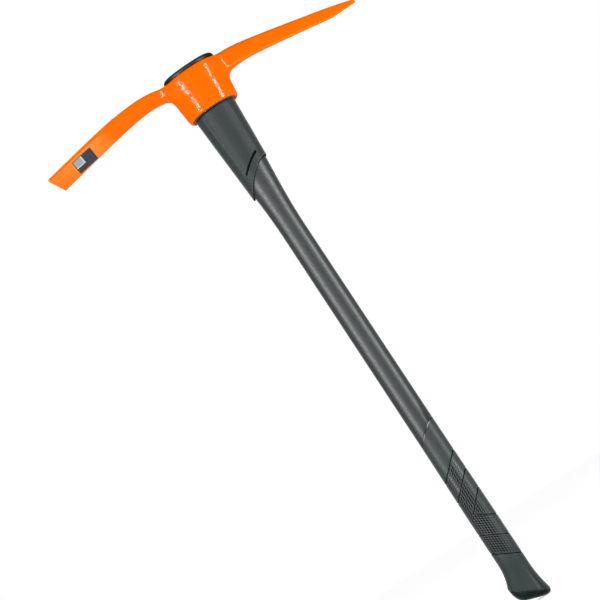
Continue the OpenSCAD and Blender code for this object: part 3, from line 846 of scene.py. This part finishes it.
class MATTOCK_OT_jacket(bpy.types.Operator):
    """Moulds the shaft, with its flared plug in the eye"""

    bl_idname = "mattock.jacket"
    bl_label = "Shaft"

    def execute(self, context):
        scene = context.scene
        eye, handle, grip = scene.mattock_eye, scene.mattock_handle, scene.mattock_grip
        inset, tail, play = 0.002, 0.04, 0.0004
        let_in, edge = (even(handle.shaft_width / 2 - d, handle.shaft_depth / 2 - d) for d in (inset, play))
        seam = math.tan(grip.slant)
        bm = bmesh.new()
        oval = Oval(bm, 80)
        oval.add(let_in, grip.height - tail, seam, grip.rise)
        oval.close()
        oval.add(let_in, grip.height, seam, grip.rise)
        oval.add(edge, grip.height, seam, grip.rise)
        # The rings turn level from the grip's seam to the start of the flare
        start, rings = eye.bottom - handle.flare, 12
        for i in range(rings + 1):
            part = i / rings
            level = between(grip.height + play, start, part)
            oval.add(shaft_half, level, seam * (1 - part), grip.rise * (1 - part))
        rings = 24
        for i in range(1, rings + 1):
            oval.add(shaft_half, between(start, eye.bottom, i / rings))
        seat, rings = CAP_TOP - handle.cap_thickness, 4
        for i in range(rings + 1):
            oval.add(lambda z: eye_half(z, -play), between(eye.bottom, seat, i / rings))
        oval.close()
        finish = moulding("jacket_grey", "jacket", 0.42, 0.047, 0.10, 0.10)
        piece("shaft_jacket", bm, "handle", "handle_jacket", finish)
        return {"FINISHED"}


def panel_inset(x, z):
    """Distance of a point of the front view inside the outline of the guard's sunk panel."""
    top, corner, run = GUARD_TOP - 0.006, 0.005, 0.09
    foot_half = 0.0205 if x > 0 else 0.0150
    half = between(0.0215, foot_half, min(1.0, (top - z) / run))
    return corner - math.hypot(max(abs(x) - (half - corner), 0.0), max(z - (top - corner), 0.0))


class MATTOCK_OT_guard(bpy.types.Operator):
    """Moulds the strike guard, with its slanted foot, sunk panel and blind groove"""

    bl_idname = "mattock.guard"
    bl_label = "Strike guard"

    def execute(self, context):
        handle = context.scene.mattock_handle
        foot = GUARD_TOP - handle.guard_length
        slope = math.tan(handle.guard_slant)
        left, right = handle.groove_left, handle.groove_right
        # Groove's line as one of the guard's rings: its level, slope and rise
        bow = 4 * handle.groove_rise / (left + right) ** 2
        groove_slope = math.tan(handle.groove_slant) + bow * (right - left)
        groove_rise = bow * guard_half(foot + handle.groove_lift)[0] ** 2
        groove = foot + handle.groove_lift + bow * left * right - groove_rise
        tilt = math.hypot(1, groove_slope)
        # Offsets of the rings beside the groove, and rounded edges of the foot and the top: inset and lift
        beside = (0.0010, 0.0014, 0.0019)
        foot_edge = ((0.0010, 0.0), (0.0004, 0.0002), (0.0, 0.0011))
        top_edge = ((0.0, 0.0010), (0.0003, 0.0003), (0.0009, 0.0))
        bm = bmesh.new()
        oval = Oval(bm, 160)

        def inside(z):
            return tuple(h + 0.0001 for h in shaft_half(z))

        def lay(level, inset=0.0):
            if level < groove:
                part = (level - foot) / (groove - foot)
                turn = between(slope, groove_slope, part), between(handle.guard_rise, groove_rise, part)
            else:
                part = (level - groove) / (GUARD_TOP - groove)
                turn = groove_slope * (1 - part), groove_rise * (1 - part)
            oval.add(lambda z: tuple(h - inset for h in guard_half(z)), level, *turn)

        oval.add(inside, foot + 0.004, slope, handle.guard_rise)
        oval.add(inside, foot, slope, handle.guard_rise)
        for inset, lift in foot_edge:
            lay(foot + lift, inset)
        rings = 10
        for i in range(1, rings):
            lay(between(foot + foot_edge[-1][1], groove - beside[-1] * tilt, i / rings))
        for step in (*(-offset for offset in reversed(beside)), 0.0, *beside):
            lay(groove + step * tilt)
        rings = 72
        for i in range(1, rings):
            lay(between(groove + beside[-1] * tilt, GUARD_TOP - 0.0012, i / rings))
        for inset, lift in top_edge:
            lay(GUARD_TOP - lift, inset)
        oval.add(inside, GUARD_TOP)
        end = 0.0012
        for x in (-left, end - left, right - end, right):
            slice_mesh(bm, Vector((x, 0, 0)), Vector((1, 0, 0)))
        shade, highlight = (bm.verts.layers.float.new(name) for name in ("groove", "rim"))
        margin, groove_half, groove_depth = 0.0002, 0.0015, 0.0016
        for v in bm.verts:
            # Painted shade on the foot's underside and inner wall, and a painted highlight on its rounded
            # edge
            if v[oval.row] < 3:
                v[shade] = 1.0
            elif v[oval.row] < 5:
                v[highlight] = 0.10
            half = guard_half(v.co.z)
            if v.co.z > GUARD_TOP - 0.0013:
                # Painted shade in the gap under the eye's lip
                v[shade] = 1.0
                continue
            if not on_oval(v.co.x, v.co.y, half):
                continue
            rim = groove + groove_slope * v.co.x + groove_rise * (1 - (v.co.x / half[0]) ** 2)
            above_rim = (v.co.z - rim) / tilt
            deep = 0.0
            # Painted shade in the groove, which is also pressed in
            if margin - left < v.co.x < right - margin and abs(above_rim) < groove_half:
                deep = groove_depth
                v[shade] = 1.0
            elif above_rim > 0.0016:
                # Sunk panel above the groove, with soft sides and rounded upper corners, and a painted
                # highlight along its border
                edge = panel_inset(v.co.x, v.co.z)
                deep = 0.0005 * (1 - ease(edge / 0.0012))
                v[highlight] = 0.04 * peak(edge, -0.0004, 0.0016)
            v.co -= outward(v.co.x, v.co.y, half) * deep
        finish = moulding("guard_grey", "guard", 0.52, 0.018, light_marked=True)
        piece("guard_sleeve", bm, "handle", "strike_guard", finish, sharp=50.0)
        return {"FINISHED"}


def grip_groove_lines():
    """Grooves of the grip in the front view, each (left x, right x, level on the axis, slope)."""
    grip = bpy.context.scene.mattock_grip
    upper, lower = math.tan(grip.groove_slant), -math.tan(grip.crease_slant)
    tops = [grip.height - 0.0582 - i * grip.pitch for i in range(3)]
    lows = [grip.crease + 0.0594 + i * grip.pitch for i in range(3)]
    past, reach = 0.03, 0.0264
    # The two middle grooves meet in an apex on the adze side
    apex = (tops[2] + lows[2] - grip.apex * (upper + lower)) / 2
    lines = [(-past, past, z, upper) for z in tops[:2]] + [(-past, past, z, lower) for z in lows[:2]]
    for z, slope in ((tops[2], upper), (lows[2], lower)):
        lean = (z + slope * reach - apex) / (reach + grip.apex)
        lines.append((-grip.apex, past, apex + lean * grip.apex, lean))
    return lines


def above(line, x, z):
    """Distance of a point of the front view above a groove's line."""
    return (z - line[2] - line[3] * x) / math.hypot(1, line[3])


def field_marks(lines, x, z, share, away):
    """Shares of painted shade in the dimples and of painted glints at a point of the grip's fields.

    Share is the point's share of the half width, and away its distance from the nearest groove.
    """
    hatch = ease((share - 0.60) / 0.30) * (0.55 + 0.45 * ease((x - 0.001) / 0.008))
    hatch *= 1 - ease((away - 0.0008) / 0.0014)
    glint = 0.0
    # Painted glints on the two upper fields, where they turn to the light
    if above(lines[1], x, z) > 0:
        glint = peak(x, 0.0095, 0.0065) + 0.8 * peak(x, -0.0070, 0.0050)
    elif above(lines[4], x, z) > 0:
        glint = 0.4 * peak(x, 0.0110, 0.0060)
    return hatch * (1 - glint), hatch * glint


class MATTOCK_OT_grip(bpy.types.Operator):
    """Moulds the grip, with its slanted grooves, dimpled fields and flared knob"""

    bl_idname = "mattock.grip"
    bl_label = "Grip"

    def execute(self, context):
        handle, grip = context.scene.mattock_handle, context.scene.mattock_grip
        bm = bmesh.new()
        oval = Oval(bm, 112)
        inset = 0.0019
        inner = even(handle.shaft_width / 2 - inset, handle.shaft_depth / 2 - inset)
        top = grip.height - 0.0006

        def lay(level, inset, lift=0.0):
            half = grip_half(level)
            slope, rise = grip_turn(level)
            oval.add(
                even(half[0] - inset, half[1] - inset), level + lift, slope, rise,
                -grip.knob_lean * knob_share(level), knob_fullness(level),
            )

        oval.add(inner, grip.crease, *grip_turn(grip.crease))
        lip = grip.crease + LIP_RUN * grip.crease_depth
        knob = grip.crease + grip.knob_length
        levels = [between(grip.crease, lip, part) for part in (0.0, 0.12, 0.25, 0.4, 0.6, 0.8)]
        levels += [between(lip, knob, i / 20) for i in range(21)]
        levels += [between(knob, top - 0.0020, i / 60) for i in range(1, 61)]
        levels += [top - 0.0012]
        for level in levels:
            lay(level, 0.0)
        for inset, lift in ((0.0001, -0.0005), (0.0004, -0.0001), (0.0009, 0.0)):
            lay(top, inset, lift)
        oval.add(inner, top, *grip_turn(top))
        lines = grip_groove_lines()
        for _, _, level, slope in lines:
            normal = Vector((-slope, 0, 1)).normalized()
            for offset in (-0.0022, -0.00085, -0.00050, 0.0, 0.00050, 0.00085, 0.0022):
                slice_mesh(bm, Vector((0, 0, level)) + normal * offset, normal)
        shade, highlight, hatch, spark, row, column = (
            bm.verts.layers.float.new(name) for name in ("groove", "rim", "hatch", "spark", "row", "column")
        )
        groove_half, groove_depth, groove_end = 0.00060, 0.0009, 0.0006
        upper, _, lower, _, apex_upper, apex_lower = lines
        for v in bm.verts:
            level = grip_level(v.co.x, v.co.z)
            half = grip_half(level)
            x = v.co.x + grip.knob_lean * knob_share(level)
            if not on_oval(x, v.co.y, half, knob_fullness(level)):
                continue
            away = min(
                abs(above(line, v.co.x, v.co.z)) for line in lines if v.co.x > line[0] - groove_end
            )
            # Painted shade in the grooves, which are also pressed in
            if away < groove_half:
                v[shade] = 1.0
                v.co -= outward(x, v.co.y, half) * groove_depth
            elif above(upper, v.co.x, v.co.z) < 0 and above(lower, v.co.x, v.co.z) > 0:
                v[hatch], v[spark] = field_marks(lines, v.co.x, v.co.z, abs(v.co.x) / half[0], away)
            # The dimples' rows run beside the grooves of their field
            low = above(apex_lower, v.co.x, v.co.z) < 0 or v.co.x < apex_lower[0]
            low = low and above(apex_upper, v.co.x, v.co.z) < 0
            slope = lower[3] if low else upper[3]
            v[row] = (v.co.z - slope * v.co.x) / grip.dimple_rise
            v[column] = v.co.x / grip.dimple_run
            if v[oval.row] > oval.count - 6:
                # Painted glints on the seam's lip where it turns to the light, and painted shade along the
                # rest of it
                shine = 1.6 * peak(v.co.x, 0.0080, 0.0065) + 1.4 * peak(v.co.x, -0.0070, 0.0060)
                v[highlight] = min(1.0, shine)
                v[shade] = 0.8 * (1 - v[highlight])
            elif level < 0.060:
                # Painted highlight along a soft ridge down the knob's pick side, and painted shade in a
                # hollow beyond it
                share = ease((level - 0.035) / 0.025)
                hollow = 0.0153 + 0.125 * (0.0327 - v.co.z)
                v[highlight] = 0.08 * share * peak(v.co.x, 0.0121, 0.0026)
                v[shade] = 0.35 * share * peak(v.co.x, hollow, 0.0026)
        # Presses the dimples into a finer mesh, with the same waves as the finish
        bmesh.ops.recalc_face_normals(bm, faces=bm.faces)
        fields = [e for e in bm.edges if all(v[hatch] + v[spark] > 0 for v in e.verts)]
        bmesh.ops.subdivide_edges(bm, edges=fields, cuts=3, use_grid_fill=True)
        bm.normal_update()
        start, end = DIMPLE_WAVE
        for v in bm.verts:
            wave = math.cos(2 * math.pi * v[column]) + math.cos(2 * math.pi * v[row])
            deep = grip.dimple_depth * (1 - ease((wave - start) / (end - start)))
            v.co -= v.normal * deep * (v[hatch] + v[spark])
        finish = moulding("grip_grey", "grip", 0.46, 0.032, light_marked=True, hatched=True, dull=(0.060, 0.105))
        piece("grip_moulding", bm, "handle", "grip_sleeve", finish, sharp=50.0)
        return {"FINISHED"}


class MATTOCK_OT_butt(bpy.types.Operator):
    """Moulds the rounded end with its slanted flat"""

    bl_idname = "mattock.butt"
    bl_label = "Butt"

    def execute(self, context):
        grip = context.scene.mattock_grip
        half = grip_half(grip.crease)
        fullness = knob_fullness(grip.crease)
        bm = bmesh.new()
        oval = Oval(bm, 112)

        def lay(inset, level, slope):
            skin = even(half[0] - inset, half[1] - inset)
            oval.add(skin, level, slope, 0.0, -grip.knob_lean, fullness)

        # From a lip inside the crease round the edge to the flat
        lay(0.004, grip.crease, grip_turn(grip.crease)[0])
        rings = 24
        for i in range(rings + 1):
            a = math.radians(90 * i / rings)
            inset = grip.butt_round * (1 - math.cos(a)) + (0.0004 if i == 0 else 0.0)
            slope = -between(math.tan(grip.crease_slant), math.tan(grip.butt_slant), math.sin(a))
            lay(inset, between(grip.crease - 0.0001, grip.butt_level, math.sin(a)), slope)
        oval.close()
        finish = moulding("butt_black", "butt", 0.48, 0.02)
        piece("butt_end", bm, "handle", "butt_cap", finish, sharp=60.0)
        return {"FINISHED"}


class MATTOCK_OT_core(bpy.types.Operator):
    """Finishes the core rod, which lies sealed in the shaft"""

    bl_idname = "mattock.core"
    bl_label = "Core rod"

    def execute(self, context):
        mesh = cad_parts["handle_core"].data
        mesh.materials.clear()
        mesh.materials.append(resin())
        return {"FINISHED"}


# Stage

def studio_floor(reach):
    """A wide white floor with a glow of its own, which keeps it white."""
    bm = bmesh.new()
    bmesh.ops.create_grid(bm, x_segments=1, y_segments=1, size=reach)
    mesh = bpy.data.meshes.new("floor")
    bm.to_mesh(mesh)
    bm.free()
    floor = bpy.data.objects.new("floor", mesh)
    bpy.context.scene.collection.objects.link(floor)
    f = Finish("studio_floor")
    tint = f.mix(f.ramp(f.noise(3.0), 0.3, 0.7), (0.86, 0.86, 0.86), (0.90, 0.90, 0.90))
    f.set(Base_Color=tint, Roughness=0.9, Specular_IOR_Level=0.1)
    glow, both = f.add("Emission", Strength=0.44), f.add("AddShader")
    f.put(both.inputs[0], f.shader.outputs["BSDF"])
    f.put(both.inputs[1], glow.outputs["Emission"])
    f.put(f.nodes["Material Output"].inputs["Surface"], both.outputs["Shader"])
    mesh.materials.append(f.material)


def studio_world():
    """A soft white world, which shows brighter to the camera and in reflections."""
    world = bpy.data.worlds.new("studio")
    world.use_nodes = True
    bpy.context.scene.world = world
    nodes, links = world.node_tree.nodes, world.node_tree.links
    soft, white = nodes["Background"], nodes.new("ShaderNodeBackground")
    for background, strength in ((soft, 0.58), (white, 1.0)):
        background.inputs["Color"].default_value = (1, 1, 1, 1)
        background.inputs["Strength"].default_value = strength
    path = nodes.new("ShaderNodeLightPath")
    seen = path.outputs["Is Camera Ray"]
    for ray in ("Is Glossy Ray", "Is Transmission Ray"):
        most = nodes.new("ShaderNodeMath")
        most.operation = "MAXIMUM"
        links.new(seen, most.inputs[0])
        links.new(path.outputs[ray], most.inputs[1])
        seen = most.outputs["Value"]
    choose = nodes.new("ShaderNodeMixShader")
    links.new(seen, choose.inputs["Fac"])
    links.new(soft.outputs["Background"], choose.inputs[1])
    links.new(white.outputs["Background"], choose.inputs[2])
    links.new(choose.outputs["Shader"], nodes["World Output"].inputs["Surface"])


def lamp(name, place, aim, size, power, gloss=False):
    """A soft rectangular lamp that faces a point. A gloss lamp shows in reflections only."""
    data = bpy.data.lights.new(name, "AREA")
    data.shape = "RECTANGLE"
    data.size, data.size_y = size
    data.energy = power
    obj = bpy.data.objects.new(name, data)
    way = Vector(aim) - Vector(place)
    obj.matrix_world = Matrix.Translation(place) @ way.to_track_quat("-Z", "Y").to_matrix().to_4x4()
    obj.visible_diffuse = not gloss
    obj.visible_glossy = gloss
    bpy.context.scene.collection.objects.link(obj)


def camera(stage):
    """The camera, turned about its own view."""
    data = bpy.data.cameras.new("camera")
    data.sensor_fit = "HORIZONTAL"
    data.angle = stage.camera_angle
    obj = bpy.data.objects.new("camera", data)
    forward = (Vector(stage.camera_aim) - Vector(stage.camera_place)).normalized()
    right = forward.cross(Vector((0, 0, 1))).normalized()
    up = right.cross(forward)
    level = Matrix((right, up, -forward)).transposed().to_4x4()
    roll = Matrix.Rotation(stage.camera_roll, 4, "Z")
    obj.matrix_world = Matrix.Translation(stage.camera_place) @ level @ roll
    bpy.context.scene.collection.objects.link(obj)
    bpy.context.scene.camera = obj


class MATTOCK_OT_stage(bpy.types.Operator):
    """Sets the floor, the world, the lamps and the camera"""

    bl_idname = "mattock.stage"
    bl_label = "Stage"

    def execute(self, context):
        stage = context.scene.mattock_stage
        studio_floor(stage.floor_reach)
        studio_world()
        aim, away, lift = Vector((0.0, 0.0, 0.5)), 2.3, 0.25
        for name, turn in (("left", -31.0), ("right", 46.0)):
            a = math.radians(turn)
            place = aim + Vector((away * math.sin(a), -away * math.cos(a), lift))
            lamp("fill_" + name, place, aim, (1.2, 2.4), 9.0)
            lamp("strip_" + name, place, aim, (0.40, 2.4), 880.0, gloss=True)
        lamp("overhead", (0.0, -0.6, 2.6), aim, (1.6, 1.6), 9.0)
        camera(stage)
        context.scene.view_settings.view_transform = "Standard"
        return {"FINISHED"}


class MATTOCK_PT_panel(bpy.types.Panel):
    """Lists the pieces of the mattock"""

    bl_idname = "MATTOCK_PT_panel"
    bl_label = "Mattock"
    bl_space_type = "VIEW_3D"
    bl_region_type = "UI"
    bl_category = "Mattock"

    def draw(self, context):
        for group in GROUPS:
            box = self.layout.box()
            settings = getattr(context.scene, group)
            box.label(text=group.replace("_", " ").capitalize())
            for name in settings.__annotations__:
                box.prop(settings, name)
        for operator in OPERATORS:
            self.layout.operator(operator.bl_idname)


GROUPS = {
    "mattock_eye": EyeSizes,
    "mattock_pick": PickSizes,
    "mattock_adze": AdzeSizes,
    "mattock_handle": HandleSizes,
    "mattock_grip": GripSizes,
    "mattock_finishes": Finishes,
    "mattock_stage": StageSettings,
}
OPERATORS = (
    MATTOCK_OT_head, MATTOCK_OT_label, MATTOCK_OT_cap, MATTOCK_OT_jacket, MATTOCK_OT_guard, MATTOCK_OT_grip,
    MATTOCK_OT_butt, MATTOCK_OT_core, MATTOCK_OT_stage,
)


def register():
    for cls in (*GROUPS.values(), *OPERATORS, MATTOCK_PT_panel):
        bpy.utils.register_class(cls)
    for name, cls in GROUPS.items():
        setattr(bpy.types.Scene, name, PointerProperty(type=cls))


def unregister():
    for name in GROUPS:
        delattr(bpy.types.Scene, name)
    for cls in reversed((*GROUPS.values(), *OPERATORS, MATTOCK_PT_panel)):
        bpy.utils.unregister_class(cls)


def main():
    register()
    bpy.ops.mattock.stage()
    bpy.ops.mattock.head()
    bpy.ops.mattock.label()
    bpy.ops.mattock.cap()
    bpy.ops.mattock.jacket()
    bpy.ops.mattock.guard()
    bpy.ops.mattock.grip()
    bpy.ops.mattock.butt()
    bpy.ops.mattock.core()


if __name__ == "__main__":
    main()
